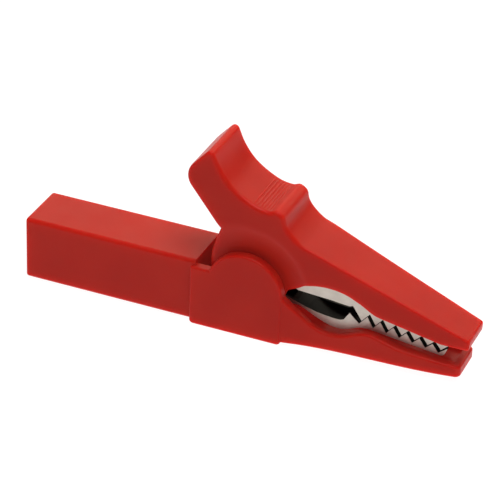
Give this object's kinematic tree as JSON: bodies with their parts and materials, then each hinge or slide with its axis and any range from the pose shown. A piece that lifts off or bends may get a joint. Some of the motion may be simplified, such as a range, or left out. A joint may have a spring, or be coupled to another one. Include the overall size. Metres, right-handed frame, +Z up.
{
  "type": "alligator clip lead",
  "caption": "Fully insulated spring crocodile clip with a hinged thumb lever, toothed jaws and a lead socket in its square handle.",
  "frame": {"origin": "centre of the socket's mouth, on the rear face of the handle", "axes": "+X from the rear face to the jaw tips, +Y to the left seen from the rear, +Z up to the thumb lever"},
  "size_m": [0.0898, 0.0136, 0.0375],
  "materials": {
    "red_plastic": "satin",
    "jaw_steel": "satin nickel plate",
    "pin_steel": "satin",
    "spool_plastic": "matte",
    "spring_steel": "drawn",
    "socket_brass": "polished",
    "core_plastic": "matte",
    "hardware_steel": "zinc plate"
  },
  "bodies": {
    "body": {"body_shell": "red_plastic", "lower_jaw": "jaw_steel", "pivot_pin": "pin_steel", "spring_spool": "spool_plastic", "torsion_spring": "spring_steel", "socket_tube": "socket_brass", "socket_core": "core_plastic", "lock_washer": "hardware_steel", "terminal_nut": "hardware_steel"},
    "lever": {"lever_shell": "red_plastic", "upper_jaw": "jaw_steel"}
  },
  "joints": [
    {"name": "lever_hinge", "type": "hinge", "parent": "body", "child": "lever", "pos_m": [0.046, 0, 0.0028], "axis": [0, -1, 0], "range_deg": [0, 26], "stiffness_Nm_per_rad": 0.06, "springref_deg": -28.65, "deforming": ["torsion_spring"]}
  ]
}
